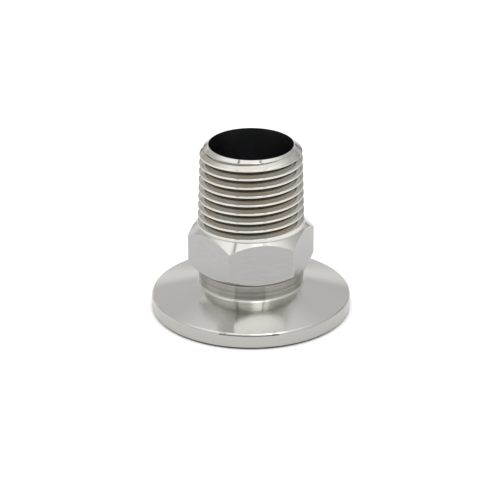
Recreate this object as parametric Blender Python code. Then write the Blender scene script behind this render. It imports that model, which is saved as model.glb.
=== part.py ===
"""Vacuum flange threaded adapter: a clamp flange, a wrench hexagon and a tapered pipe thread, in one solid.

Metres, +Z up. The axis is Z, the sealing face stands on z = 0 and the thread points up.
The front is -Y, and every angle round the axis is counted from the front towards +X.
"""

import math

import bmesh
import bpy

MM = 0.001

# Facets round every turned surface
SEGMENTS = 72

# Flange: a rim with a tapered back for a clamp ring
FLANGE_DIAMETER = 40.0 * MM
RIM_HEIGHT = 3.25 * MM
RIM_FOOT_BREAK = 0.4 * MM
RIM_EDGE_BREAK = 0.16 * MM
FLANGE_BACK_ANGLE = math.radians(15)

# Recess in the sealing face, which seats a centring ring
RECESS_DIAMETER = 26.2 * MM
RECESS_DEPTH = 3.0 * MM
RECESS_EDGE_BREAK = 0.2 * MM

# Neck between the flange and the hexagon, which widens a little on its way up
NECK_DIAMETER = 21.0 * MM
NECK_UNDERCUT = math.radians(2.5)
NECK_FILLET = 0.45 * MM
FILLET_STEPS = 5

# Hexagon for a 7/8 inch wrench
HEX_ACROSS_FLATS = 22.225 * MM
HEX_HEIGHT = 9.1 * MM
HEX_BOTTOM = 9.4 * MM
HEX_FACE_DIAMETER = 21.8 * MM
HEX_TOP_CHAMFER = math.radians(42)
HEX_BOTTOM_CHAMFER = math.radians(36)
HEX_TURN = math.radians(-19.4)

# Male thread: 1/2 inch tapered pipe thread, 14 turns to the inch, 60 degree flanks, right-handed
THREAD_LENGTH = 16.72 * MM
THREAD_PITCH = 25.4 / 14 * MM
THREAD_CREST_DIAMETER = 20.3 * MM
THREAD_CREST_FLAT = 0.31 * MM
THREAD_ROOT_FLAT = 0.07 * MM
THREAD_FLANK_ANGLE = math.radians(30)
THREAD_TAPER_PER_SIDE = 1 / 32
THREAD_START = math.radians(145)
THREAD_PLAIN_BAND = 0.3 * MM
THREAD_RUN_OUT_TURNS = 0.25

# Open end
END_CHAMFER = math.radians(40)
END_LAND = 0.1 * MM

# Bore right through, which leaves this wall under the first groove of the thread
THREAD_WALL = 0.49 * MM
BORE_EDGE_BREAK = 0.3 * MM

# How far a cutter reaches past the metal that it takes away
CUTTER_OVERRUN = 0.5 * MM

# Points closer than this are one point, which is far under the smallest flat of the thread
WELD_DISTANCE = 0.003 * MM

# Height at which the neck's side would meet the flange's back
NECK_BOTTOM = RIM_HEIGHT + (FLANGE_DIAMETER - NECK_DIAMETER) / 2 * math.tan(FLANGE_BACK_ANGLE)
NECK_TOP_RADIUS = NECK_DIAMETER / 2 + (HEX_BOTTOM - NECK_BOTTOM) * math.tan(NECK_UNDERCUT)
HEX_TOP = HEX_BOTTOM + HEX_HEIGHT
END_FACE = HEX_TOP + THREAD_LENGTH
HEX_CORNER_RADIUS = HEX_ACROSS_FLATS / 2 / math.cos(math.pi / 6)
THREAD_DEPTH = (THREAD_PITCH - THREAD_CREST_FLAT - THREAD_ROOT_FLAT) / 2 / math.tan(THREAD_FLANK_ANGLE)
BORE_RADIUS = THREAD_CREST_DIAMETER / 2 - THREAD_DEPTH - THREAD_WALL

STEEL_COLOR = (0.60, 0.59, 0.57, 1.0)
STEEL_ROUGHNESS = 0.3


def clear_scene():
    """Empties the scene, so that the script starts from nothing."""
    for item in list(bpy.data.objects):
        bpy.data.objects.remove(item, do_unlink=True)


def polar(radius, turn, height):
    """The point at this radius and height, turned from the front towards +X."""
    return (radius * math.sin(turn), -radius * math.cos(turn), height)


def crest_radius(height):
    """Radius of the thread's crests, which grow towards the hexagon."""
    return THREAD_CREST_DIAMETER / 2 + (END_FACE - height) * THREAD_TAPER_PER_SIDE


def new_object(name, bm):
    """Turns a bmesh into an object of the scene."""
    bmesh.ops.recalc_face_normals(bm, faces=bm.faces)
    mesh = bpy.data.meshes.new(name)
    bm.to_mesh(mesh)
    bm.free()
    item = bpy.data.objects.new(name, mesh)
    bpy.context.scene.collection.objects.link(item)
    return item


def revolve(name, section, steps):
    """Turns a closed section of (radius, height) points once round the axis, starting at a corner of the hexagon."""
    bm = bmesh.new()
    corners = [bm.verts.new(polar(radius, HEX_TURN, height)) for radius, height in section]
    sides = [bm.edges.new((corners[i - 1], corners[i])) for i in range(len(corners))]
    bmesh.ops.spin(
        bm,
        geom=corners + sides,
        cent=(0, 0, 0),
        axis=(0, 0, 1),
        angle=math.tau,
        steps=steps,
        use_merge=True,
    )
    return new_object(name, bm)


def loft(name, rings):
    """Joins rings with equal counts of points into one closed tube."""
    bm = bmesh.new()
    loops = [[bm.verts.new(point) for point in ring] for ring in rings]
    for near, far in zip(loops, loops[1:]):
        for i in range(len(near)):
            bm.faces.new((near[i - 1], near[i], far[i], far[i - 1]))
    bm.faces.new(loops[0])
    bm.faces.new(loops[-1])
    bmesh.ops.triangulate(bm, faces=bm.faces, quad_method="FIXED")
    return new_object(name, bm)


def cut(body, cutter):
    """Takes the cutter's shape out of the body and removes the cutter."""
    boolean = body.modifiers.new(cutter.name, "BOOLEAN")
    boolean.operation = "DIFFERENCE"
    boolean.solver = "EXACT"
    boolean.object = cutter
    with bpy.context.temp_override(object=body, active_object=body):
        bpy.ops.object.modifier_apply(modifier=boolean.name)
    bpy.data.objects.remove(cutter, do_unlink=True)


def weld(body):
    """Merges the points that two cuts leave side by side, and drops the faces between them."""
    bm = bmesh.new()
    bm.from_mesh(body.data)
    bmesh.ops.remove_doubles(bm, verts=bm.verts, dist=WELD_DISTANCE)
    bmesh.ops.dissolve_degenerate(bm, edges=bm.edges, dist=WELD_DISTANCE)
    bm.to_mesh(body.data)
    bm.free()


def flange_section():
    """The rim and its tapered back, from the sealing face to the neck's fillet."""
    rim = FLANGE_DIAMETER / 2
    slope = math.tan(FLANGE_BACK_ANGLE)
    return [
        (RECESS_DIAMETER / 2 + RECESS_EDGE_BREAK, 0),
        (rim - RIM_FOOT_BREAK, 0),
        (rim, RIM_FOOT_BREAK),
        (rim, RIM_HEIGHT - RIM_EDGE_BREAK),
        (rim - RIM_EDGE_BREAK, RIM_HEIGHT + RIM_EDGE_BREAK * slope),
    ]


def fillet_section():
    """The fillet in the corner of the flange's back and the neck, tangent to both."""
    tilt = math.pi / 2 - FLANGE_BACK_ANGLE
    sweep = tilt + NECK_UNDERCUT
    # The fillet reaches this far along the back and along the neck
    reach = NECK_FILLET * math.tan(sweep / 2)
    centre_radius = NECK_DIAMETER / 2 + reach * math.sin(tilt) + NECK_FILLET * math.cos(tilt)
    centre_height = NECK_BOTTOM - reach * math.cos(tilt) + NECK_FILLET * math.sin(tilt)
    section = []
    for step in range(FILLET_STEPS + 1):
        turn = tilt - sweep * step / FILLET_STEPS
        radius = centre_radius - NECK_FILLET * math.cos(turn)
        section.append((radius, centre_height - NECK_FILLET * math.sin(turn)))
    return section


def hexagon_section():
    """The turned blank of the hexagon: a collar wider than its corners, chamfered above and below."""
    face = HEX_FACE_DIAMETER / 2
    collar = HEX_CORNER_RADIUS + CUTTER_OVERRUN
    shoulder = crest_radius(HEX_TOP)
    return [
        (NECK_TOP_RADIUS, HEX_BOTTOM),
        (face, HEX_BOTTOM),
        (collar, HEX_BOTTOM + (collar - face) * math.tan(HEX_BOTTOM_CHAMFER)),
        (collar, HEX_TOP - (collar - shoulder) * math.tan(HEX_TOP_CHAMFER)),
        (shoulder, HEX_TOP),
    ]


def end_section():
    """The open end: the thread's blank, its chamfer and the narrow flat ring round the bore."""
    ring = BORE_RADIUS + END_LAND
    chamfer_depth = (THREAD_CREST_DIAMETER / 2 - ring) / (1 / math.tan(END_CHAMFER) - THREAD_TAPER_PER_SIDE)
    return [
        (crest_radius(END_FACE - chamfer_depth), END_FACE - chamfer_depth),
        (ring, END_FACE),
        (BORE_RADIUS, END_FACE),
    ]


def recess_section():
    """The bore's lower edge and the recess that opens in the sealing face."""
    recess = RECESS_DIAMETER / 2
    return [
        (BORE_RADIUS, RECESS_DEPTH + BORE_EDGE_BREAK),
        (BORE_RADIUS + BORE_EDGE_BREAK, RECESS_DEPTH),
        (recess, RECESS_DEPTH),
        (recess, RECESS_EDGE_BREAK),
    ]


def turned_blank(name):
    """Everything that the lathe makes, apart from the thread."""
    lower = flange_section() + fillet_section() + hexagon_section()
    upper = end_section() + recess_section()
    return revolve(name, lower + upper, SEGMENTS)


def hexagon_cutter():
    """A ring with a six-sided hole, which mills the six flats."""
    outside = 2 * HEX_CORNER_RADIUS
    bottom = HEX_BOTTOM - CUTTER_OVERRUN
    top = HEX_TOP + CUTTER_OVERRUN
    section = [
        (HEX_CORNER_RADIUS, bottom),
        (outside, bottom),
        (outside, top),
        (HEX_CORNER_RADIUS, top),
    ]
    return revolve("hexagon_cutter", section, 6)


def groove_ring(turn, middle, lift):
    """The groove's section: a flat root, two flanks and straight sides past the crests, lifted out at the run-out."""
    # The flanks run on past the crests to the middle of the crest's half, so that turns never meet
    past = THREAD_CREST_FLAT / 4
    half_mouth = (THREAD_PITCH - THREAD_CREST_FLAT) / 2 + past
    over = past / math.tan(THREAD_FLANK_ANGLE)
    half_root = THREAD_ROOT_FLAT / 2
    outline = [
        (half_root, -THREAD_DEPTH),
        (half_mouth, over),
        (half_mouth, over + CUTTER_OVERRUN),
        (-half_mouth, over + CUTTER_OVERRUN),
        (-half_mouth, over),
        (-half_root, -THREAD_DEPTH),
    ]
    ring = []
    for offset, height_over_crest in outline:
        height = middle + offset
        ring.append(polar(crest_radius(height) + height_over_crest + lift, turn, height))
    return ring


def thread_cutter():
    """The helical groove, from above the open end down to its run-out over the hexagon."""
    rise = THREAD_PITCH / SEGMENTS
    step_turn = math.tau / SEGMENTS
    half_groove = (THREAD_PITCH - THREAD_CREST_FLAT) / 2
    full_depth_end = HEX_TOP + THREAD_PLAIN_BAND + half_groove
    # The first ring stands one pitch over the end face, on one of the blank's own facet lines
    first = math.ceil((THREAD_START + math.tau - HEX_TURN) / step_turn)
    start = END_FACE + THREAD_PITCH * (HEX_TURN + first * step_turn - THREAD_START) / math.tau
    cutting_steps = math.ceil((start - full_depth_end) / rise)
    run_out_steps = math.ceil(THREAD_RUN_OUT_TURNS * SEGMENTS)
    full_lift = THREAD_DEPTH + CUTTER_OVERRUN
    rings = []
    for step in range(cutting_steps + run_out_steps + 1):
        lift = full_lift * max(0, step - cutting_steps) / run_out_steps
        rings.append(groove_ring(HEX_TURN + (first - step) * step_turn, start - step * rise, lift))
    return loft("thread_cutter", rings)


def stainless_steel():
    """Turned stainless steel, bare and satin."""
    material = bpy.data.materials.new("stainless_steel")
    material.use_nodes = True
    shader = material.node_tree.nodes["Principled BSDF"]
    shader.inputs["Base Color"].default_value = STEEL_COLOR
    shader.inputs["Metallic"].default_value = 1.0
    shader.inputs["Roughness"].default_value = STEEL_ROUGHNESS
    return material


def main():
    clear_scene()
    body = turned_blank("adapter_body")
    cut(body, hexagon_cutter())
    cut(body, thread_cutter())
    weld(body)
    body.data.materials.append(stainless_steel())
    body.data.shade_smooth()
    body.data.set_sharp_from_angle(angle=math.radians(18))


main()
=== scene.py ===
"""Looks of the vacuum flange threaded adapter.

One finely meshed stainless steel body stands on a white floor in a light tent.
Metres, +Z up. The body stands on its sealing face at z = 0, and -Y is the front.
Angles round the axis are counted from the front towards +X.
"""

import math

import bmesh
import bpy
import numpy as np
from mathutils import Euler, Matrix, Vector


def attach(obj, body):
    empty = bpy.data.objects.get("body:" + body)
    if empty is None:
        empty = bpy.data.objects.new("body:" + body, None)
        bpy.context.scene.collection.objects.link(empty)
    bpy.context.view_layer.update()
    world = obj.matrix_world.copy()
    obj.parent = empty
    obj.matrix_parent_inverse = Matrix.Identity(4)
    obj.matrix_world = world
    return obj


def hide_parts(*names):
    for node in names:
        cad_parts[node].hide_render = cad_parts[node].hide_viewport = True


bl_info = {
    "name": "Vacuum flange threaded adapter",
    "version": (1, 0, 0),
    "blender": (4, 5, 0),
    "location": "3D View > Sidebar > Adapter",
    "description": "Models the adapter's body, its steel finishes and a white studio",
    "category": "Add Mesh",
}

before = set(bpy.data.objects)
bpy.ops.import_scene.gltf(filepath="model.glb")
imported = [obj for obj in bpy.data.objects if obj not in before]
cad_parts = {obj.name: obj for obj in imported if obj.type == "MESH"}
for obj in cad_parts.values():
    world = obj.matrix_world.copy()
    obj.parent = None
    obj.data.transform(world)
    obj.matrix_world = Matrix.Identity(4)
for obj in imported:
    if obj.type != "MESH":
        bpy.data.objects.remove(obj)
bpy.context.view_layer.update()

MM = 0.001
BODY_NODE = "adapter_body"
PIECE = "adapter"

# Mesh density of the body, and the distance under which two of its points become one
COLUMNS = 236
CORNER_STEPS = 4
SHOULDER_STEPS = 6
WELD = 0.004 * MM

# Material slots of the body, in this order
TURNED, MILLED, THREAD, BORED = range(4)

# The floor lies a hair under the sealing face, so that the two aren't in one plane
FLOOR_SIZE = 3.0
FLOOR_GAP = 0.01 * MM

# Light that the floor adds for the camera, and for the steel before and beside the rim
FLOOR_GLOW_SEEN = 0.2
FLOOR_GLOW_BEFORE = 0.04
FLOOR_GLOW_BESIDE = 0.12

# The tent and its door, as shares of the tent's half depth
TENT_HEIGHT = 1.25
DOOR_HALF_WIDTH = 0.615
DOOR_HALF_WIDTH_OVER_ROOF = 0.345
DOOR_OFF_MIDDLE = 0.05

# Share of the light that a seam takes, and the gap along the floor as a share of that
SEAM_LOSS = 0.9
GAP_SHARE = 0.7

# Share of the lamp's reach over which it is at its full level
LAMP_CORE = 0.38

# The sensor in millimetres, and the shift that puts the adapter where the photograph has it
SENSOR_WIDTH = 36.0
SHIFT_X = -0.0022
SHIFT_Y = -0.0248

WHITE = (1, 1, 1, 1)

# Map Range nodes with this setting ease in and out
SMOOTH = {"interpolation_type": "SMOOTHSTEP"}


class AdapterSizes(bpy.types.PropertyGroup):
    """Real sizes of the adapter's body."""

    height: bpy.props.FloatProperty(
        name="Height",
        description="From the sealing face to the open end",
        default=35.22 * MM,
        unit="LENGTH",
    )
    flange_diameter: bpy.props.FloatProperty(
        name="Flange diameter",
        description="Across the rim",
        default=40.0 * MM,
        unit="LENGTH",
    )
    rim_height: bpy.props.FloatProperty(
        name="Rim height",
        description="Height of the rim where its side would meet the tapered back",
        default=3.25 * MM,
        unit="LENGTH",
    )
    rim_foot_break: bpy.props.FloatProperty(
        name="Rim foot break",
        description="Width of the chamfer on the edge that the adapter stands on",
        default=0.4 * MM,
        unit="LENGTH",
    )
    rim_break: bpy.props.FloatProperty(
        name="Rim edge break",
        description="Width of the chamfer on the rim's upper edge",
        default=0.16 * MM,
        unit="LENGTH",
    )
    back_angle: bpy.props.FloatProperty(
        name="Back angle",
        description="Slope of the flange's back, for the clamp",
        default=math.radians(15),
        subtype="ANGLE",
    )
    recess_diameter: bpy.props.FloatProperty(
        name="Recess diameter",
        description="Recess in the sealing face",
        default=26.2 * MM,
        unit="LENGTH",
    )
    recess_depth: bpy.props.FloatProperty(
        name="Recess depth",
        description="Depth of the recess in the sealing face",
        default=3.0 * MM,
        unit="LENGTH",
    )
    neck_diameter: bpy.props.FloatProperty(
        name="Neck diameter",
        description="Neck where it would meet the flange's back",
        default=21.0 * MM,
        unit="LENGTH",
    )
    neck_undercut: bpy.props.FloatProperty(
        name="Neck undercut",
        description="Slope by which the neck widens towards the hexagon",
        default=math.radians(2.5),
        subtype="ANGLE",
    )
    neck_fillet: bpy.props.FloatProperty(
        name="Neck fillet",
        description="Radius where the neck meets the flange",
        default=0.45 * MM,
        unit="LENGTH",
    )
    across_flats: bpy.props.FloatProperty(
        name="Across flats",
        description="Width of the hexagon",
        default=22.225 * MM,
        unit="LENGTH",
    )
    hex_bottom: bpy.props.FloatProperty(
        name="Hexagon bottom",
        description="Height of the hexagon's lower face",
        default=9.4 * MM,
        unit="LENGTH",
    )
    hex_top: bpy.props.FloatProperty(
        name="Hexagon top",
        description="Height at which the upper chamfer meets the thread",
        default=18.5 * MM,
        unit="LENGTH",
    )
    hex_face_diameter: bpy.props.FloatProperty(
        name="Hexagon face diameter",
        description="Flat ring under the hexagon, inside its chamfer",
        default=21.8 * MM,
        unit="LENGTH",
    )
    hex_top_chamfer: bpy.props.FloatProperty(
        name="Upper chamfer",
        description="Slope of the chamfer over the flats",
        default=math.radians(42),
        subtype="ANGLE",
    )
    hex_bottom_chamfer: bpy.props.FloatProperty(
        name="Lower chamfer",
        description="Slope of the chamfer under the flats",
        default=math.radians(36),
        subtype="ANGLE",
    )
    hex_turn: bpy.props.FloatProperty(
        name="Hexagon turn",
        description="Angle from the front to the hexagon's first corner",
        default=math.radians(-19.4),
        subtype="ANGLE",
    )
    thread_pitch: bpy.props.FloatProperty(
        name="Thread pitch",
        description="Fourteen turns to the inch",
        default=25.4 / 14 * MM,
        unit="LENGTH",
    )
    thread_diameter: bpy.props.FloatProperty(
        name="Thread diameter",
        description="Across the crests at the open end",
        default=20.3 * MM,
        unit="LENGTH",
    )
    crest_flat: bpy.props.FloatProperty(
        name="Crest flat",
        description="Width of the thread's crests",
        default=0.31 * MM,
        unit="LENGTH",
    )
    root_flat: bpy.props.FloatProperty(
        name="Root flat",
        description="Width of the thread's roots",
        default=0.07 * MM,
        unit="LENGTH",
    )
    thread_start: bpy.props.FloatProperty(
        name="Thread start",
        description="Angle at which the groove's middle crosses the open end",
        default=math.radians(145),
        subtype="ANGLE",
    )
    plain_band: bpy.props.FloatProperty(
        name="Plain band",
        description="Least distance from the groove to the hexagon",
        default=0.3 * MM,
        unit="LENGTH",
    )
    end_ring: bpy.props.FloatProperty(
        name="End ring",
        description="Width of the flat ring at the open end",
        default=0.1 * MM,
        unit="LENGTH",
    )
    end_chamfer: bpy.props.FloatProperty(
        name="End chamfer",
        description="Slope of the chamfer that leads the thread in",
        default=math.radians(40),
        subtype="ANGLE",
    )
    thread_wall: bpy.props.FloatProperty(
        name="Thread wall",
        description="Metal between the first root and the bore",
        default=0.49 * MM,
        unit="LENGTH",
    )
    bore_break: bpy.props.FloatProperty(
        name="Bore edge break",
        description="Width of the chamfer where the bore meets the recess",
        default=0.3 * MM,
        unit="LENGTH",
    )


class SteelFinish(bpy.types.PropertyGroup):
    """Colours and roughness of the steel."""

    turned_color: bpy.props.StringProperty(
        name="Turned steel",
        description="Colour of the turned surfaces, as sRGB hex",
        default="#BCBAB6",
    )
    # Painted shade: the neck darkens towards this colour under the hexagon, and the turning marks' darker
    # streaks take it too
    marks_and_shade_color: bpy.props.StringProperty(
        name="Dull steel",
        description="Colour of the neck close under the hexagon, as sRGB hex",
        default="#A9A69F",
    )
    # Painted shade: the corner over the neck, and a painted shadow on the rim's foot
    painted_shade_color: bpy.props.StringProperty(
        name="Painted shade",
        description="Colour in the corner over the neck and on the foot of the rim, as sRGB hex",
        default="#34322E",
    )
    # Painted light: the hexagon's downward faces are painted paler than the steel
    painted_light_underside_color: bpy.props.StringProperty(
        name="Underside steel",
        description="Colour of the hexagon's underside, as sRGB hex",
        default="#F0EEEA",
    )
    milled_color: bpy.props.StringProperty(
        name="Milled steel",
        description="Colour of the hexagon's flats, as sRGB hex",
        default="#B8B7B6",
    )
    milled_streak_color: bpy.props.StringProperty(
        name="Milled streaks",
        description="Colour of the darkest brush streaks on the flats, as sRGB hex",
        default="#A4A3A2",
    )
    crest_color: bpy.props.StringProperty(
        name="Crest steel",
        description="Colour of the thread's rubbed crests, as sRGB hex",
        default="#D9D7D3",
    )
    thread_color: bpy.props.StringProperty(
        name="Thread steel",
        description="Colour of the thread's flanks, as sRGB hex",
        default="#B7B5B0",
    )
    straw_color: bpy.props.StringProperty(
        name="Straw tint",
        description="Colour of the thread's flanks where cutting oil has tinted them, as sRGB hex",
        default="#B6B0A6",
    )
    # Painted shade: the thread's roots darken towards this colour
    root_shade_color: bpy.props.StringProperty(
        name="Root steel",
        description="Colour down in the thread's root, as sRGB hex",
        default="#6E675C",
    )
    milled_edge_tint: bpy.props.StringProperty(
        name="Milled edge tint",
        description="Colour by which the flats are dimmed where they are seen edge on, as sRGB hex",
        default="#EEEEEE",
    )
    thread_edge_tint: bpy.props.StringProperty(
        name="Thread edge tint",
        description="Colour by which the thread is dimmed where it is seen edge on, as sRGB hex",
        default="#CBCBCB",
    )
    # Painted shade: the bore's two colours are darker and bluer than the outer steel's
    bore_mark_color: bpy.props.StringProperty(
        name="Bore marks",
        description="Colour of the darkest boring marks, as sRGB hex",
        default="#74767A",
    )
    bore_shade_color: bpy.props.StringProperty(
        name="Bore steel",
        description="Colour of the bore, as sRGB hex",
        default="#8E9092",
    )
    turned_roughness: bpy.props.FloatProperty(
        name="Turned roughness",
        description="Roughness of the turned surfaces",
        default=0.12,
        subtype="FACTOR",
    )
    underside_roughness: bpy.props.FloatProperty(
        name="Underside roughness",
        description="Roughness of the hexagon's underside",
        default=0.16,
        subtype="FACTOR",
    )
    milled_roughness: bpy.props.FloatProperty(
        name="Milled roughness",
        description="Roughness of the flats",
        default=0.2,
        subtype="FACTOR",
    )
    thread_roughness: bpy.props.FloatProperty(
        name="Thread roughness",
        description="Roughness of the thread",
        default=0.1,
        subtype="FACTOR",
    )
    bore_roughness: bpy.props.FloatProperty(
        name="Bore roughness",
        description="Roughness of the bore",
        default=0.25,
        subtype="FACTOR",
    )


class StudioSettings(bpy.types.PropertyGroup):
    """Camera, floor and light."""

    camera_elevation: bpy.props.FloatProperty(
        name="Camera elevation",
        description="Angle of the camera above the horizontal",
        default=math.radians(24.35),
        subtype="ANGLE",
    )
    camera_distance: bpy.props.FloatProperty(
        name="Camera distance",
        description="From the middle of the adapter to the camera",
        default=0.49,
        unit="LENGTH",
    )
    aim_height: bpy.props.FloatProperty(
        name="Aim height",
        description="Height of the point that the camera looks at",
        default=15 * MM,
        unit="LENGTH",
    )
    lens: bpy.props.FloatProperty(
        name="Lens",
        description="Focal length on a 36 mm sensor",
        default=176.5,
        subtype="DISTANCE_CAMERA",
    )
    wall_level: bpy.props.FloatProperty(
        name="Wall level",
        description="Brightness of the tent's walls",
        default=0.86,
    )
    wall_foot_level: bpy.props.FloatProperty(
        name="Wall foot level",
        description="Brightness of the tent's walls where they meet the floor",
        default=1.2,
    )
    roof_level: bpy.props.FloatProperty(
        name="Roof level",
        description="Brightness that the roof has over the walls",
        default=0.85,
    )
    lamp_level: bpy.props.FloatProperty(
        name="Lamp level",
        description="Brightness that the lamp over the door adds to the cloth",
        default=1.8,
    )
    lamp_azimuth: bpy.props.FloatProperty(
        name="Lamp azimuth",
        description="Angle of the lamp round the axis, from the front towards +X",
        default=math.radians(26),
        subtype="ANGLE",
    )
    lamp_elevation: bpy.props.FloatProperty(
        name="Lamp elevation",
        description="Angle of the lamp above the horizontal",
        default=math.radians(54),
        subtype="ANGLE",
    )
    lamp_reach: bpy.props.FloatProperty(
        name="Lamp reach",
        description="Angle from the lamp's middle to the edge of its glow",
        default=math.radians(19),
        subtype="ANGLE",
    )
    floor_color: bpy.props.StringProperty(
        name="Floor",
        description="Colour of the floor, as sRGB hex",
        default="#EBEBEA",
    )


def linear(code):
    """The linear colour of an sRGB hex code."""
    channels = [int(code[i : i + 2], 16) / 255 for i in (1, 3, 5)]
    return tuple(c / 12.92 if c <= 0.04045 else ((c + 0.055) / 1.055) ** 2.4 for c in channels) + (1.0,)


def add(tree, kind, inputs=None, **settings):
    """Adds a node with its settings, and sets or links its inputs.

    An input that is given as a node is linked to that node's first output. By number, a Map Range
    takes its value as 0 and maps the range 1 to 2 onto 3 to 4, and a colour Mix takes its share as 0
    and its colours as 6 and 7, and gives output 2.
    """
    node = tree.nodes.new(kind)
    for name, value in settings.items():
        setattr(node, name, value)
    for name, value in (inputs or {}).items():
        if isinstance(value, bpy.types.Node):
            value = value.outputs[0]
        if isinstance(value, bpy.types.NodeSocket):
            tree.links.new(value, node.inputs[name])
        else:
            node.inputs[name].default_value = value
    return node


def new_material(name):
    """An empty node material and its output."""
    material = bpy.data.materials.new(name)
    material.use_nodes = True
    material.node_tree.nodes.clear()
    return material, add(material.node_tree, "ShaderNodeOutputMaterial")


def soft_min(a, b, blend):
    """The smaller of two values, rounded where they cross."""
    return 0.5 * (a + b - np.sqrt((a - b) ** 2 + blend**2))


def soft_max(a, b, blend):
    """The larger of two values, rounded where they cross."""
    return 0.5 * (a + b + np.sqrt((a - b) ** 2 + blend**2))


class BodyShape:
    """The adapter's surface as rows of points, each row one turn round the axis."""

    # Slope of the thread's flanks, taper on its radius, and how the groove lifts out of the steel at its end
    flank = math.tan(math.radians(30))
    taper = 1 / 32
    run_out_turns = 0.25
    run_out_lift = 0.5 * MM
    # Rounding of the crests, of the roots and of the edge where the lead-in chamfer cuts them
    crest_blend = 0.05 * MM
    root_blend = 0.05 * MM
    edge_blend = 0.05 * MM
    # The turned surfaces reach this far down from the open end and up from the hexagon, into the thread
    end_band = 0.2 * MM
    foot_band = 0.24 * MM
    # Reach of the breaks on the hexagon's corners and on the recess's edge
    corner_reach = 0.12 * MM
    recess_break = 0.2 * MM
    # Facets that draw the pale line along the rim's upper edge, as shares of its break
    rim_facets_down = 2.8
    rim_facets_meet_in = 0.55
    rim_facets_back = 1.7
    # Facets that draw the bright line over the neck's fillet, as shares of its reach
    fillet_facets_back = 0.62
    fillet_facets_meet_out = 0.13
    fillet_facets_meet_up = 0.42
    fillet_facets_end_out = 0.04
    fillet_facets_end_up = 0.95

    def __init__(self, sizes):
        self.sizes = sizes
        self.thread_top = sizes.height - self.end_band
        self.thread_bottom = sizes.hex_top + self.foot_band
        self.groove_half = (sizes.thread_pitch - sizes.crest_flat) / 2
        self.groove_depth = (self.groove_half - sizes.root_flat / 2) / self.flank
        self.bore = sizes.thread_diameter / 2 - self.groove_depth - sizes.thread_wall
        self.apothem = sizes.across_flats / 2
        back_rise = (sizes.flange_diameter - sizes.neck_diameter) / 2 * math.tan(sizes.back_angle)
        self.neck_bottom = sizes.rim_height + back_rise
        self.turns = self.column_turns()

    def column_turns(self):
        """Angles of the columns, with two more at each corner of the hexagon."""
        even = np.linspace(0, math.tau, COLUMNS + 1)
        corners = np.arange(6) * math.tau / 6
        beside = self.corner_reach / (self.apothem / math.cos(math.pi / 6))
        turns = np.sort(np.concatenate([even, corners + beside, corners + math.tau / 6 - beside]))
        return turns + self.sizes.hex_turn

    def points(self, radius, height):
        """The points at these radii and heights, one for each column."""
        across = radius * np.sin(self.turns)
        back = -radius * np.cos(self.turns)
        return np.stack([across, back, height + 0 * self.turns], axis=-1)

    def crest_radius(self, height):
        """Radius of the thread's crests, which grow towards the hexagon."""
        return self.sizes.thread_diameter / 2 + (self.sizes.height - height) * self.taper

    def thread_radius(self, height):
        """Radius of the threaded part at one height for each column."""
        sizes = self.sizes
        pitch = sizes.thread_pitch
        from_start = height - sizes.height - pitch * (self.turns - sizes.thread_start) / math.tau
        offset = from_start - pitch * np.round(from_start / pitch)
        groove_middle = height - offset
        full_depth_end = sizes.hex_top + sizes.plain_band + self.groove_half
        lift = np.maximum(0, full_depth_end - groove_middle) / (self.run_out_turns * pitch)
        lift = lift * (self.groove_depth + self.run_out_lift)
        vee = soft_min(self.groove_depth, (self.groove_half - abs(offset)) / self.flank, self.root_blend)
        cut = soft_max(0, vee - lift, self.crest_blend)
        chamfer = self.bore + sizes.end_ring + (sizes.height - height) / math.tan(sizes.end_chamfer)
        return soft_min(chamfer, self.crest_radius(height) - cut, self.edge_blend)

    def hexagon_radius(self):
        """Radius of the hexagon's side for each column, with its corners broken."""
        same_turn = 1e-6
        from_corner = (self.turns - self.sizes.hex_turn + math.pi / 6) % (math.pi / 3) - math.pi / 6
        radius = self.apothem / np.cos(math.pi / 6 - abs(from_corner))
        at_corner = abs(from_corner) < same_turn
        break_depth = self.corner_reach * math.tan(math.pi / 3) * (1 / math.sin(math.pi / 3) - 1)
        return radius - break_depth * at_corner


def bend(radius, height, reach=0.05 * MM, steps=CORNER_STEPS):
    """A corner of an outline, which is rounded within its reach in so many steps."""
    return radius, height, reach, steps


def rounded(bends):
    """Rows along an outline whose bends are rounded, apart from the two at its ends.

    One more row on each side of a bend keeps its shading off the faces beside it.
    """
    beside = 1.6
    columns = np.zeros(max(np.size(radius) for radius, *_ in bends))
    places = [np.stack([columns + radius, columns + height]) for radius, height, *_ in bends]
    rows = [places[0]]
    for before, place, after, (*_, reach, steps) in zip(places, places[1:], places[2:], bends[1:]):
        into = (before - place) / np.linalg.norm(before - place, axis=0)
        out = (after - place) / np.linalg.norm(after - place, axis=0)
        start = place + into * reach
        end = place + out * reach
        rows.append(place + into * reach * beside)
        for step in range(steps + 1):
            t = step / steps
            rows.append((1 - t) ** 2 * start + 2 * t * (1 - t) * place + t**2 * end)
        rows.append(place + out * reach * beside)
    rows.append(places[-1])
    return rows


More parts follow.
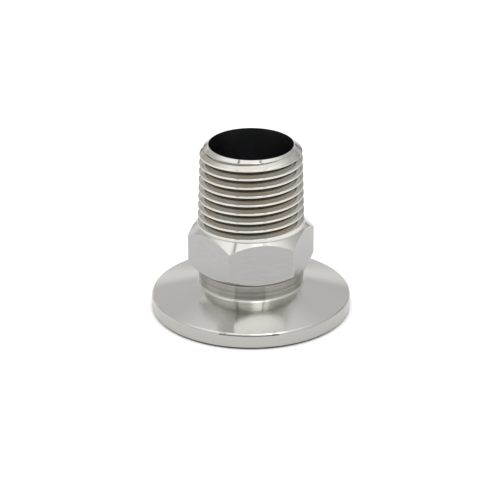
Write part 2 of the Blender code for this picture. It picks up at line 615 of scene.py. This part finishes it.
def lathe_rows(shape):
    """Rows from the thread's top over the end, bore, underside, flange and hexagon to its foot."""
    sizes = shape.sizes
    top = shape.thread_top
    bottom = shape.thread_bottom
    recess = sizes.recess_diameter / 2
    rim = sizes.flange_diameter / 2
    neck = sizes.neck_diameter / 2
    face = sizes.hex_face_diameter / 2
    slope = math.tan(sizes.back_angle)
    neck_top = neck + (sizes.hex_bottom - shape.neck_bottom) * math.tan(sizes.neck_undercut)
    fillet_reach = sizes.neck_fillet * math.tan((math.pi / 2 - sizes.back_angle + sizes.neck_undercut) / 2)
    side = shape.hexagon_radius()
    shoulder = shape.crest_radius(sizes.hex_top)
    side_bottom = sizes.hex_bottom + (side - face) * math.tan(sizes.hex_bottom_chamfer)
    side_top = sizes.hex_top - (side - shoulder) * math.tan(sizes.hex_top_chamfer)
    rim_meet = rim - shape.rim_facets_meet_in * sizes.rim_break
    rim_back = shape.rim_facets_back * sizes.rim_break
    fillet_back = shape.fillet_facets_back * fillet_reach
    fillet_meet = neck + shape.fillet_facets_meet_out * fillet_reach
    fillet_end = neck + shape.fillet_facets_end_out * fillet_reach
    return rounded(
        [
            bend(shape.thread_radius(top + 0 * side), top),
            bend(shape.bore + sizes.end_ring, sizes.height, 0.03 * MM),
            bend(shape.bore, sizes.height, 0.03 * MM),
            bend(shape.bore, sizes.recess_depth + sizes.bore_break),
            bend(shape.bore + sizes.bore_break, sizes.recess_depth),
            bend(recess, sizes.recess_depth, 0.15 * MM),
            bend(recess, shape.recess_break),
            bend(recess + shape.recess_break, 0),
            bend(rim - sizes.rim_foot_break, 0, 0.08 * MM),
            bend(rim, sizes.rim_foot_break, 0.08 * MM),
            bend(rim, sizes.rim_height - shape.rim_facets_down * sizes.rim_break, 0.03 * MM),
            bend(rim_meet, sizes.rim_height - sizes.rim_break, 0.04 * MM),
            bend(rim - rim_back, sizes.rim_height + rim_back * slope, 0.07 * MM),
            bend(neck + fillet_back, shape.neck_bottom - fillet_back * slope, 0.07 * MM),
            bend(fillet_meet, shape.neck_bottom + shape.fillet_facets_meet_up * fillet_reach),
            bend(fillet_end, shape.neck_bottom + shape.fillet_facets_end_up * fillet_reach, 0.04 * MM),
            bend(neck_top, sizes.hex_bottom),
            bend(face, sizes.hex_bottom),
            bend(side, side_bottom, 0.12 * MM),
            bend(side, side_top, 0.08 * MM),
            bend(shoulder, sizes.hex_top, 0.14 * MM, SHOULDER_STEPS),
            bend(shape.thread_radius(bottom + 0 * side), bottom),
        ]
    )


def row_material(shape, near, far):
    """The material of the faces between two rows, from where they lie."""
    sizes = shape.sizes
    bore_edge = shape.bore + 0.01 * MM
    # On the hexagon only the flats have faces as high as this
    flat_height = 2 * MM
    radius = (near[0].max() + far[0].max()) / 2
    low, high = sorted((np.mean(near[1]), np.mean(far[1])))
    if radius < bore_edge:
        return BORED
    if low > sizes.hex_bottom and high < sizes.hex_top and high - low > flat_height:
        return MILLED
    return TURNED


def thread_offsets(shape):
    """Heights of the rows across one pitch, from the middle of a groove.

    They lie closest at the root and at the crests' edges.
    """
    # Steps in millimetres, and the rows down the flank between them
    from_root = (0, 0.035, 0.08, 0.15)
    from_edge = (-0.11, -0.06, -0.025, 0.005, 0.035, 0.075)
    flank_rows = 3
    flank_low = 0.27 * MM
    edge = shape.groove_half
    flank_high = edge - 0.2 * MM
    half = [step * MM for step in from_root]
    half += list(np.linspace(flank_low, flank_high, flank_rows))
    half += [edge + step * MM for step in from_edge]
    mirrored = [-step for step in half[1:]]
    return np.sort(np.array(half + mirrored + [shape.sizes.thread_pitch / 2]))


def thread_zones(shape):
    """The threaded part as zones between level rings, each a list of rows that follow the helix."""
    sizes = shape.sizes
    pitch = sizes.thread_pitch
    reach = sizes.thread_diameter / 2 - shape.bore - sizes.end_ring
    chamfer_start = sizes.height - reach / (1 / math.tan(sizes.end_chamfer) - shape.taper)
    # Rings in millimetres from the edge where the lead-in chamfer cuts the crests
    from_chamfer = (-0.08, -0.03, 0.03, 0.08)
    levels = [chamfer_start + step * MM for step in from_chamfer]
    levels = [shape.thread_bottom] + levels + [shape.thread_top]
    helix = sizes.height + pitch * (shape.turns - sizes.thread_start) / math.tau
    offsets = thread_offsets(shape)
    fine = np.sort(np.concatenate([offsets, (offsets[1:] + offsets[:-1]) / 2]))
    for low, high in zip(levels, levels[1:]):
        spacing = fine if low > chamfer_start else offsets
        rows = [low + 0 * helix]
        first = math.floor((low - helix.max()) / pitch) - 1
        last = math.ceil((high - helix.min()) / pitch) + 1
        for groove in range(first, last + 1):
            for offset in spacing:
                height = helix + groove * pitch + offset
                if height.max() > low and height.min() < high:
                    rows.append(np.clip(height, low, high))
        rows.append(high + 0 * helix)
        yield [np.stack([shape.thread_radius(height), height]) for height in rows]


def body_mesh(shape):
    """The whole surface as one closed mesh, with its materials by place."""
    columns = len(shape.turns)
    points, faces, slots = [], [], []

    def strip(rows, material_of):
        first = len(points) * columns
        for radius, height in rows:
            points.append(shape.points(radius, height))
        for index, (near, far) in enumerate(zip(rows, rows[1:])):
            start = first + index * columns
            slot = material_of(near, far)
            for column in range(columns - 1):
                corner = start + column
                faces.append((corner, corner + 1, corner + columns + 1, corner + columns))
                slots.append(slot)

    strip(lathe_rows(shape), lambda near, far: row_material(shape, near, far))
    for zone in thread_zones(shape):
        strip(zone, lambda near, far: THREAD)
    mesh = bpy.data.meshes.new(PIECE)
    mesh.from_pydata(np.concatenate(points).tolist(), [], faces)
    mesh.polygons.foreach_set("material_index", slots)
    bm = bmesh.new()
    bm.from_mesh(mesh)
    bmesh.ops.remove_doubles(bm, verts=bm.verts, dist=WELD)
    bmesh.ops.recalc_face_normals(bm, faces=bm.faces)
    bm.to_mesh(mesh)
    bm.free()
    mesh.shade_smooth()
    return mesh


def from_axis(tree):
    """The surface's place, its height over the sealing face and its distance from the axis, as sockets."""
    place = add(tree, "ShaderNodeTexCoord").outputs["Object"]
    split = add(tree, "ShaderNodeSeparateXYZ", {"Vector": place})
    flat = add(tree, "ShaderNodeCombineXYZ", {"X": split.outputs["X"], "Y": split.outputs["Y"]})
    radius = add(tree, "ShaderNodeVectorMath", {0: flat}, operation="LENGTH")
    return place, split.outputs["Z"], radius.outputs["Value"]


def bare_metal(material, output, surface, grain=0.0):
    """Ends a material as bare metal.

    Grain stretches its highlights across the marks that run round the axis.
    """
    tree = material.node_tree
    if grain:
        quarter_turn = 0.25
        tangent = add(tree, "ShaderNodeTangent", direction_type="RADIAL", axis="Z")
        surface = {**surface, "Tangent": tangent, "Anisotropic": grain, "Anisotropic Rotation": quarter_turn}
    shader = add(tree, "ShaderNodeBsdfPrincipled", {"Metallic": 1.0, **surface})
    tree.links.new(shader.outputs["BSDF"], output.inputs["Surface"])
    return material


def turned_steel(finish, shape):
    """Stainless steel off the lathe, then polished on a wheel: satin, with marks that run round the axis;
    some shade and light are painted.
    """
    material, output = new_material("stainless_turned")
    tree = material.node_tree
    sizes = shape.sizes
    face = sizes.hex_face_diameter / 2
    hex_bottom = sizes.hex_bottom
    foot_break = sizes.rim_foot_break
    foot_inside = sizes.flange_diameter / 2 - foot_break
    height, radius = from_axis(tree)[1:]
    # Turning marks, coarser than the real feed of 0.1 mm so that they show
    along = add(tree, "ShaderNodeMath", {0: radius, 1: height}, operation="SUBTRACT")
    marks = {"W": along, "Scale": 1 / (0.25 * MM), "Detail": 2.0}
    marks = add(tree, "ShaderNodeTexNoise", marks, noise_dimensions="1D")
    bump = add(tree, "ShaderNodeBump", {"Height": marks, "Distance": 0.002 * MM, "Strength": 0.5})
    # Painted shade: the neck is darker towards its top, under the hexagon
    in_neck = add(tree, "ShaderNodeMapRange", {0: radius, 1: face + 0.2 * MM, 2: face - 0.1 * MM})
    below_flats = {0: height, 1: hex_bottom + 3 * MM, 2: hex_bottom + 2 * MM}
    below_flats = add(tree, "ShaderNodeMapRange", below_flats)
    in_neck = add(tree, "ShaderNodeMath", {0: in_neck, 1: below_flats}, operation="MULTIPLY")
    shade_up_neck = {0: height, 1: shape.neck_bottom, 2: hex_bottom - 0.4 * MM, 3: 0.2}
    shade_up_neck = add(tree, "ShaderNodeMapRange", shade_up_neck)
    neck = add(tree, "ShaderNodeMath", {0: in_neck, 1: shade_up_neck}, operation="MULTIPLY")
    # The neck also keeps coarser marks, drawn wider than the real ones so that they show
    rough_marks = {"W": height, "Scale": 1 / (0.5 * MM), "Detail": 1.0}
    rough_marks = add(tree, "ShaderNodeTexNoise", rough_marks, noise_dimensions="1D")
    rough_marks = add(tree, "ShaderNodeMapRange", {0: rough_marks, 1: 0.35, 2: 0.65, 3: -0.6, 4: 0.35})
    rough_marks = add(tree, "ShaderNodeMath", {0: rough_marks, 1: in_neck}, operation="MULTIPLY")
    streaks = add(tree, "ShaderNodeMath", {0: marks, 1: 0.25, 2: -0.12}, operation="MULTIPLY_ADD")
    streaks = add(tree, "ShaderNodeMath", {0: streaks, 1: rough_marks}, operation="ADD")
    # Painted shade on the neck, added to the darker streaks of the turning marks
    marks_and_shade = add(tree, "ShaderNodeMath", {0: neck, 1: streaks}, operation="ADD", use_clamp=True)
    color = {0: marks_and_shade, 6: linear(finish.turned_color), 7: linear(finish.marks_and_shade_color)}
    color = add(tree, "ShaderNodeMix", color, data_type="RGBA")
    # Painted shade in the corner over the neck, and a painted shadow on the foot of the rim where it meets
    # the floor
    corner = {0: height, 1: hex_bottom - 0.35 * MM, 2: hex_bottom - 0.15 * MM}
    corner = add(tree, "ShaderNodeMapRange", corner)
    corner = add(tree, "ShaderNodeMath", {0: corner, 1: in_neck}, operation="MULTIPLY")
    foot = {0: height, 1: foot_break + 0.14 * MM, 2: foot_break + 0.04 * MM}
    foot = add(tree, "ShaderNodeMapRange", foot)
    outside = add(tree, "ShaderNodeMapRange", {0: radius, 1: foot_inside - 0.1 * MM, 2: foot_inside})
    foot = add(tree, "ShaderNodeMath", {0: foot, 1: outside}, operation="MULTIPLY")
    painted_shade = add(tree, "ShaderNodeMath", {0: corner, 1: foot}, operation="MAXIMUM")
    color = {0: painted_shade, 6: color.outputs[2], 7: linear(finish.painted_shade_color)}
    color = add(tree, "ShaderNodeMix", color, data_type="RGBA")
    # Painted light: the hexagon's underside is painted brighter, and it is a little rougher
    facing = add(tree, "ShaderNodeNewGeometry").outputs["Normal"]
    facing = add(tree, "ShaderNodeSeparateXYZ", {0: facing}).outputs["Z"]
    facing_down = add(tree, "ShaderNodeMapRange", {0: facing, 1: -0.6, 2: -0.75})
    over_neck = {0: height, 1: hex_bottom - 0.03 * MM, 2: hex_bottom - 0.01 * MM}
    over_neck = add(tree, "ShaderNodeMapRange", over_neck)
    underside = add(tree, "ShaderNodeMath", {0: over_neck, 1: facing_down}, operation="MULTIPLY")
    color = {0: underside, 6: color.outputs[2], 7: linear(finish.painted_light_underside_color)}
    color = add(tree, "ShaderNodeMix", color, data_type="RGBA")
    roughness = {0: underside, 3: finish.turned_roughness, 4: finish.underside_roughness}
    roughness = add(tree, "ShaderNodeMapRange", roughness)
    surface = {"Base Color": color.outputs[2], "Roughness": roughness, "Normal": bump}
    return bare_metal(material, output, surface, grain=1.0)


def milled_steel(finish):
    """Stainless steel off the milling cutter, then brushed level: faint streaks along each flat."""
    material, output = new_material("stainless_milled")
    tree = material.node_tree
    place = from_axis(tree)[0]
    # Brush marks, longer and wider apart than the real ones so that they show
    spacing = 1 / (0.15 * MM)
    length = 1 / (3 * MM)
    mapping = add(tree, "ShaderNodeMapping", {"Vector": place, "Scale": (length, length, spacing)})
    streaks = add(tree, "ShaderNodeTexNoise", {"Vector": mapping, "Scale": 1.0, "Detail": 3.0})
    color = {0: streaks, 6: linear(finish.milled_color), 7: linear(finish.milled_streak_color)}
    color = add(tree, "ShaderNodeMix", color, data_type="RGBA")
    bump = add(tree, "ShaderNodeBump", {"Height": streaks, "Distance": 0.002 * MM, "Strength": 0.4})
    surface = {
        "Base Color": color.outputs[2],
        "Roughness": finish.milled_roughness,
        "Specular Tint": linear(finish.milled_edge_tint),
        "Normal": bump,
    }
    return bare_metal(material, output, surface)


def thread_steel(finish, shape):
    """Stainless steel cut by the threading tool: rubbed bright on the crests, duller in the groove, with
    painted shade in the roots.
    """
    material, output = new_material("stainless_thread")
    tree = material.node_tree
    sizes = shape.sizes
    place, height, radius = from_axis(tree)
    # Depth under the tapered crests and under the lead-in chamfer, from their radii at height 0
    crest_foot = sizes.thread_diameter / 2 + sizes.height * shape.taper
    crest = {0: height, 1: -shape.taper, 2: crest_foot}
    crest = add(tree, "ShaderNodeMath", crest, operation="MULTIPLY_ADD")
    under_crest = add(tree, "ShaderNodeMath", {0: crest, 1: radius}, operation="SUBTRACT")
    slope = 1 / math.tan(sizes.end_chamfer)
    lead_foot = shape.bore + sizes.end_ring + sizes.height * slope
    lead = add(tree, "ShaderNodeMath", {0: height, 1: -slope, 2: lead_foot}, operation="MULTIPLY_ADD")
    under_lead = add(tree, "ShaderNodeMath", {0: lead, 1: radius}, operation="SUBTRACT")
    depth = add(tree, "ShaderNodeMath", {0: under_crest, 1: under_lead}, operation="MINIMUM")
    # Tool marks that run along the groove, coarser than the real ones so that they show
    marks = {"W": depth, "Scale": 1 / (0.16 * MM), "Detail": 1.0}
    marks = add(tree, "ShaderNodeTexNoise", marks, noise_dimensions="1D")
    bump = add(tree, "ShaderNodeBump", {"Height": marks, "Distance": 0.002 * MM, "Strength": 0.5})
    # Patches about 8 mm across where the cutting oil has left a straw tint
    patches = add(tree, "ShaderNodeTexNoise", {"Vector": place, "Scale": 1 / (8 * MM), "Detail": 1.0})
    straw = add(tree, "ShaderNodeMapRange", {0: patches, 1: 0.42, 2: 0.6}, **SMOOTH)
    flank = {0: straw, 6: linear(finish.thread_color), 7: linear(finish.straw_color)}
    flank = add(tree, "ShaderNodeMix", flank, data_type="RGBA")
    # From the crests' colour to the flanks' and then to painted shade in the roots, with the lead-in chamfer
    # as turned
    off_crest = add(tree, "ShaderNodeMapRange", {0: under_crest, 1: 0.03 * MM, 2: 0.12 * MM}, **SMOOTH)
    in_groove = add(tree, "ShaderNodeMapRange", {0: depth, 1: 0.03 * MM, 2: 0.12 * MM}, **SMOOTH)
    root_shade = add(tree, "ShaderNodeMapRange", {0: depth, 1: 0.75 * MM, 2: 1.15 * MM}, **SMOOTH)
    color = {0: off_crest, 6: linear(finish.crest_color), 7: linear(finish.turned_color)}
    color = add(tree, "ShaderNodeMix", color, data_type="RGBA")
    color = {0: in_groove, 6: color.outputs[2], 7: flank.outputs[2]}
    color = add(tree, "ShaderNodeMix", color, data_type="RGBA")
    color = {0: root_shade, 6: color.outputs[2], 7: linear(finish.root_shade_color)}
    color = add(tree, "ShaderNodeMix", color, data_type="RGBA")
    surface = {
        "Base Color": color.outputs[2],
        "Roughness": finish.thread_roughness,
        "Specular Tint": linear(finish.thread_edge_tint),
        "Normal": bump,
    }
    return bare_metal(material, output, surface, grain=0.75)


def bored_steel(finish):
    """Stainless steel off the boring bar: faint rings on smooth metal, dark as it mirrors only itself, with
    painted shade.
    """
    material, output = new_material("stainless_bored")
    tree = material.node_tree
    height = from_axis(tree)[1]
    # Boring marks, coarser than the real feed of 0.1 mm so that they show
    marks = {"W": height, "Scale": 1 / (0.3 * MM), "Detail": 2.0}
    marks = add(tree, "ShaderNodeTexNoise", marks, noise_dimensions="1D")
    # Painted shade: the bore takes darker, bluer colours than the outer steel
    color = {0: marks, 6: linear(finish.bore_shade_color), 7: linear(finish.bore_mark_color)}
    color = add(tree, "ShaderNodeMix", color, data_type="RGBA")
    bump = add(tree, "ShaderNodeBump", {"Height": marks, "Distance": 0.001 * MM, "Strength": 0.5})
    surface = {"Base Color": color.outputs[2], "Roughness": finish.bore_roughness, "Normal": bump}
    return bare_metal(material, output, surface, grain=0.6)


class ADAPTER_OT_body(bpy.types.Operator):
    """Models the adapter's body in place of the plain solid"""

    bl_idname = "adapter.body"
    bl_label = "Adapter body"

    def execute(self, context):
        finish = context.scene.adapter_finish
        shape = BodyShape(context.scene.adapter_sizes)
        mesh = body_mesh(shape)
        mesh.materials.append(turned_steel(finish, shape))
        mesh.materials.append(milled_steel(finish))
        mesh.materials.append(thread_steel(finish, shape))
        mesh.materials.append(bored_steel(finish))
        body = bpy.data.objects.new(PIECE, mesh)
        context.scene.collection.objects.link(body)
        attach(body, "root")
        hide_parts(BODY_NODE)
        return {"FINISHED"}


def floor_material(studio):
    """A white acrylic floor, which the camera and the steel see as the white backdrop."""
    material, output = new_material("white_floor")
    tree = material.node_tree
    path = add(tree, "ShaderNodeLightPath")
    diffuse = add(tree, "ShaderNodeBsdfDiffuse", {"Color": linear(studio.floor_color)})
    through = {0: path.outputs["Is Glossy Ray"], 1: path.outputs["Is Transmission Ray"]}
    through = add(tree, "ShaderNodeMath", through, operation="MAXIMUM")
    # A painted glow on the floor that the steel's reflections see, a little stronger beside the rim than
    # before it, where the tent is open
    place = add(tree, "ShaderNodeTexCoord").outputs["Object"]
    sideways = add(tree, "ShaderNodeSeparateXYZ", {0: place}).outputs["X"]
    sideways = add(tree, "ShaderNodeMath", {0: sideways}, operation="ABSOLUTE")
    level = {0: sideways, 1: 26 * MM, 2: 33 * MM, 3: FLOOR_GLOW_BEFORE, 4: FLOOR_GLOW_BESIDE}
    level = add(tree, "ShaderNodeMapRange", level, **SMOOTH)
    mirrored = add(tree, "ShaderNodeMath", {0: through, 1: level}, operation="MULTIPLY")
    seen = {0: path.outputs["Is Camera Ray"], 1: FLOOR_GLOW_SEEN, 2: mirrored}
    seen = add(tree, "ShaderNodeMath", seen, operation="MULTIPLY_ADD")
    glow = add(tree, "ShaderNodeEmission", {"Color": WHITE, "Strength": seen})
    both = add(tree, "ShaderNodeAddShader", {0: diffuse, 1: glow})
    tree.links.new(both.outputs["Shader"], output.inputs["Surface"])
    return material


def tent_cloth(tree, studio, x, y, z):
    """Brightness of the tent's cloth by direction: walls lit along the floor, under a bright roof."""
    gain_at_sides = 0.25
    loss_behind = -0.2
    loss_in_corner = -0.25
    gain_in_fold = 0.35
    fold_height = 0.22
    walls = {0: z, 1: 0.0, 2: 0.3, 3: studio.wall_foot_level, 4: studio.wall_level}
    walls = add(tree, "ShaderNodeMapRange", walls, **SMOOTH)
    # Low down, the walls are brighter at the sides and dimmer behind
    low = add(tree, "ShaderNodeMapRange", {0: z, 1: 0.15, 2: 0.45, 3: 1.0, 4: 0.0}, **SMOOTH)
    off_side = add(tree, "ShaderNodeMath", {0: y}, operation="ABSOLUTE")
    sides = {0: off_side, 1: 0.15, 2: 0.45, 3: gain_at_sides, 4: 0.0}
    sides = add(tree, "ShaderNodeMapRange", sides, **SMOOTH)
    behind = add(tree, "ShaderNodeMapRange", {0: y, 1: 0.2, 2: 0.6, 3: 0.0, 4: loss_behind}, **SMOOTH)
    change = add(tree, "ShaderNodeMath", {0: sides, 1: behind}, operation="ADD")
    share = add(tree, "ShaderNodeMath", {0: change, 1: low, 2: 1.0}, operation="MULTIPLY_ADD")
    walls = add(tree, "ShaderNodeMath", {0: walls, 1: share}, operation="MULTIPLY")
    # A darker corner behind on the right
    aside = add(tree, "ShaderNodeMath", {0: y, 1: 0.5, 2: x}, operation="MULTIPLY_ADD")
    corner = {0: aside, 1: 0.6, 2: 0.95, 3: 0.0, 4: loss_in_corner}
    corner = add(tree, "ShaderNodeMapRange", corner, **SMOOTH)
    under_roof = add(tree, "ShaderNodeMapRange", {0: z, 1: 0.3, 2: 0.6, 3: 1.0, 4: 0.0}, **SMOOTH)
    share = add(tree, "ShaderNodeMath", {0: corner, 1: under_roof, 2: 1.0}, operation="MULTIPLY_ADD")
    walls = add(tree, "ShaderNodeMath", {0: walls, 1: share}, operation="MULTIPLY")
    # A paler fold lies low behind, which the lead-in chamfer mirrors at its two ends
    off_fold = add(tree, "ShaderNodeMath", {0: z, 1: fold_height}, operation="SUBTRACT")
    off_fold = add(tree, "ShaderNodeMath", {0: off_fold}, operation="ABSOLUTE")
    fold = {0: off_fold, 1: 0.04, 2: 0.12, 3: gain_in_fold, 4: 0.0}
    fold = add(tree, "ShaderNodeMapRange", fold, **SMOOTH)
    at_back = add(tree, "ShaderNodeMapRange", {0: y, 1: 0.55, 2: 0.75}, **SMOOTH)
    walls = add(tree, "ShaderNodeMath", {0: fold, 1: at_back, 2: walls}, operation="MULTIPLY_ADD")
    # The roof reaches lower at the front and on the left than at the back and on the right
    tilt = add(tree, "ShaderNodeMath", {0: y, 1: -0.2, 2: z}, operation="MULTIPLY_ADD")
    tilt = add(tree, "ShaderNodeMath", {0: x, 1: -0.05, 2: tilt}, operation="MULTIPLY_ADD")
    roof = {0: tilt, 1: 0.5, 2: 0.95, 3: 0.0, 4: studio.roof_level}
    roof = add(tree, "ShaderNodeMapRange", roof, **SMOOTH)
    return add(tree, "ShaderNodeMath", {0: walls, 1: roof}, operation="ADD")


def tent_door(tree, x, y, z):
    """Shares of the light that the open door and the narrow seam round it leave."""
    # How far across and along the tent a ray from the adapter meets its cloth
    wide = add(tree, "ShaderNodeMath", {0: x}, operation="ABSOLUTE")
    deep = add(tree, "ShaderNodeMath", {0: y}, operation="ABSOLUTE")
    wall = add(tree, "ShaderNodeMath", {0: wide, 1: deep}, operation="MAXIMUM")
    high = add(tree, "ShaderNodeMath", {0: z, 1: TENT_HEIGHT}, operation="DIVIDE")
    reach = add(tree, "ShaderNodeMath", {0: wall, 1: high}, operation="MAXIMUM")
    across = add(tree, "ShaderNodeMath", {0: x, 1: reach}, operation="DIVIDE")
    along = add(tree, "ShaderNodeMath", {0: y, 1: reach}, operation="DIVIDE")
    # The door is narrower over the roof, and inside counts how far a place lies in it
    half = {0: along, 1: -0.6, 2: -0.2, 3: DOOR_HALF_WIDTH, 4: DOOR_HALF_WIDTH_OVER_ROOF}
    half = add(tree, "ShaderNodeMapRange", half, **SMOOTH)
    aside = add(tree, "ShaderNodeMath", {0: across, 1: DOOR_OFF_MIDDLE}, operation="ADD")
    aside = add(tree, "ShaderNodeMath", {0: aside}, operation="ABSOLUTE")
    inside = add(tree, "ShaderNodeMath", {0: half, 1: aside}, operation="SUBTRACT")
    opening = add(tree, "ShaderNodeMapRange", {0: inside, 1: 0.0, 2: 0.03}, **SMOOTH)
    at_front = add(tree, "ShaderNodeMapRange", {0: along, 1: -0.6, 2: -0.2, 3: 1.0, 4: 0.0}, **SMOOTH)
    opening = add(tree, "ShaderNodeMath", {0: opening, 1: at_front}, operation="MULTIPLY")
    under_top = add(tree, "ShaderNodeMapRange", {0: z, 1: 0.34, 2: 0.6, 3: 1.0, 4: 0.0}, **SMOOTH)
    opening = add(tree, "ShaderNodeMath", {0: opening, 1: under_top}, operation="MULTIPLY")
    # It is darkest over the floor and beside its right seam
    dark = add(tree, "ShaderNodeMapRange", {0: z, 1: 0.0, 2: 0.12, 3: 0.25, 4: 0.72}, **SMOOTH)
    darker = add(tree, "ShaderNodeMapRange", {0: across, 1: 0.3, 2: 0.55, 3: 1.0, 4: 1.25}, **SMOOTH)
    dark = add(tree, "ShaderNodeMath", {0: dark, 1: darker}, operation="MULTIPLY")
    dark = add(tree, "ShaderNodeMath", {0: dark, 1: opening}, operation="MULTIPLY")
    door_share = add(tree, "ShaderNodeMath", {0: 1.0, 1: dark}, operation="SUBTRACT")
    # The seam follows the door's edge, from the floor to just behind the middle of the roof
    off_edge = add(tree, "ShaderNodeMath", {0: inside}, operation="ABSOLUTE")
    seam = add(tree, "ShaderNodeMapRange", {0: off_edge, 1: 0.025, 2: 0.04, 3: 1.0, 4: 0.0}, **SMOOTH)
    before = add(tree, "ShaderNodeMapRange", {0: along, 1: -0.1, 2: 0.3, 3: 1.0, 4: 0.0}, **SMOOTH)
    seam = add(tree, "ShaderNodeMath", {0: seam, 1: before}, operation="MULTIPLY")
    # A narrow gap runs along the floor too
    gap = add(tree, "ShaderNodeMapRange", {0: z, 1: 0.03, 2: 0.06, 3: GAP_SHARE, 4: 0.0}, **SMOOTH)
    seam = add(tree, "ShaderNodeMath", {0: seam, 1: gap}, operation="MAXIMUM")
    seam_share = add(tree, "ShaderNodeMath", {0: seam, 1: -SEAM_LOSS, 2: 1.0}, operation="MULTIPLY_ADD")
    return door_share, seam_share


def studio_world(studio):
    """A white light tent round the adapter, with an open door at the front and a lamp over it."""
    world = bpy.data.worlds.new("tent")
    world.use_nodes = True
    tree = world.node_tree
    tree.nodes.clear()
    towards = add(tree, "ShaderNodeTexCoord").outputs["Generated"]
    x, y, z = add(tree, "ShaderNodeSeparateXYZ", {0: towards}).outputs
    cloth = tent_cloth(tree, studio, x, y, z)
    door_share, seam_share = tent_door(tree, x, y, z)
    level = add(tree, "ShaderNodeMath", {0: cloth, 1: door_share}, operation="MULTIPLY")
    # The lamp shines through the cloth, and its cover ends at the seams
    azimuth = studio.lamp_azimuth
    flat = math.cos(studio.lamp_elevation)
    rise = math.sin(studio.lamp_elevation)
    lamp = Vector((math.sin(azimuth) * flat, -math.cos(azimuth) * flat, rise))
    facing = add(tree, "ShaderNodeVectorMath", {0: towards, 1: lamp}, operation="DOT_PRODUCT")
    edge = math.cos(studio.lamp_reach)
    full = math.cos(studio.lamp_reach * LAMP_CORE)
    glow = {0: facing.outputs["Value"], 1: edge, 2: full, 3: 0.0, 4: studio.lamp_level}
    glow = add(tree, "ShaderNodeMapRange", glow, **SMOOTH)
    level = add(tree, "ShaderNodeMath", {0: level, 1: glow}, operation="ADD")
    level = add(tree, "ShaderNodeMath", {0: level, 1: seam_share}, operation="MULTIPLY")
    tent = add(tree, "ShaderNodeBackground", {"Color": WHITE, "Strength": level})
    # The camera sees plain white, and the steel mirrors the tent, which is about as white
    backdrop = add(tree, "ShaderNodeBackground", {"Color": WHITE, "Strength": 1.0})
    path = add(tree, "ShaderNodeLightPath")
    straight = {0: path.outputs["Is Camera Ray"], 1: path.outputs["Is Transmission Ray"]}
    straight = add(tree, "ShaderNodeMath", straight, operation="MAXIMUM")
    mix = add(tree, "ShaderNodeMixShader", {0: straight, 1: tent, 2: backdrop})
    add(tree, "ShaderNodeOutputWorld", {"Surface": mix})
    return world


class ADAPTER_OT_stage(bpy.types.Operator):
    """Adds the floor, the light tent and the camera"""

    bl_idname = "adapter.stage"
    bl_label = "Studio"

    def execute(self, context):
        scene = context.scene
        studio = scene.adapter_studio
        bpy.ops.mesh.primitive_plane_add(size=FLOOR_SIZE)
        floor = context.active_object
        floor.name = "floor"
        floor.location.z = -FLOOR_GAP
        floor.data.materials.append(floor_material(studio))
        scene.world = studio_world(studio)
        camera = bpy.data.cameras.new("camera")
        camera.lens = studio.lens
        camera.sensor_width = SENSOR_WIDTH
        camera.shift_x = SHIFT_X
        camera.shift_y = SHIFT_Y
        viewer = bpy.data.objects.new("camera", camera)
        elevation = studio.camera_elevation
        back = Vector((0, -math.cos(elevation), math.sin(elevation)))
        viewer.location = Vector((0, 0, studio.aim_height)) + back * studio.camera_distance
        viewer.rotation_euler = Euler((math.pi / 2 - elevation, 0, 0))
        scene.collection.objects.link(viewer)
        scene.camera = viewer
        scene.view_settings.view_transform = "Standard"
        return {"FINISHED"}


class ADAPTER_PT_panel(bpy.types.Panel):
    """Lists the adapter's operators"""

    bl_idname = "ADAPTER_PT_panel"
    bl_label = "Adapter"
    bl_space_type = "VIEW_3D"
    bl_region_type = "UI"
    bl_category = "Adapter"

    def draw(self, context):
        self.layout.operator(ADAPTER_OT_body.bl_idname)
        self.layout.operator(ADAPTER_OT_stage.bl_idname)


CLASSES = (
    AdapterSizes,
    SteelFinish,
    StudioSettings,
    ADAPTER_OT_body,
    ADAPTER_OT_stage,
    ADAPTER_PT_panel,
)


def register():
    for item in CLASSES:
        bpy.utils.register_class(item)
    bpy.types.Scene.adapter_sizes = bpy.props.PointerProperty(type=AdapterSizes)
    bpy.types.Scene.adapter_finish = bpy.props.PointerProperty(type=SteelFinish)
    bpy.types.Scene.adapter_studio = bpy.props.PointerProperty(type=StudioSettings)


def unregister():
    del bpy.types.Scene.adapter_studio
    del bpy.types.Scene.adapter_finish
    del bpy.types.Scene.adapter_sizes
    for item in reversed(CLASSES):
        bpy.utils.unregister_class(item)


def main():
    register()
    bpy.ops.adapter.body()
    bpy.ops.adapter.stage()


if __name__ == "__main__":
    main()
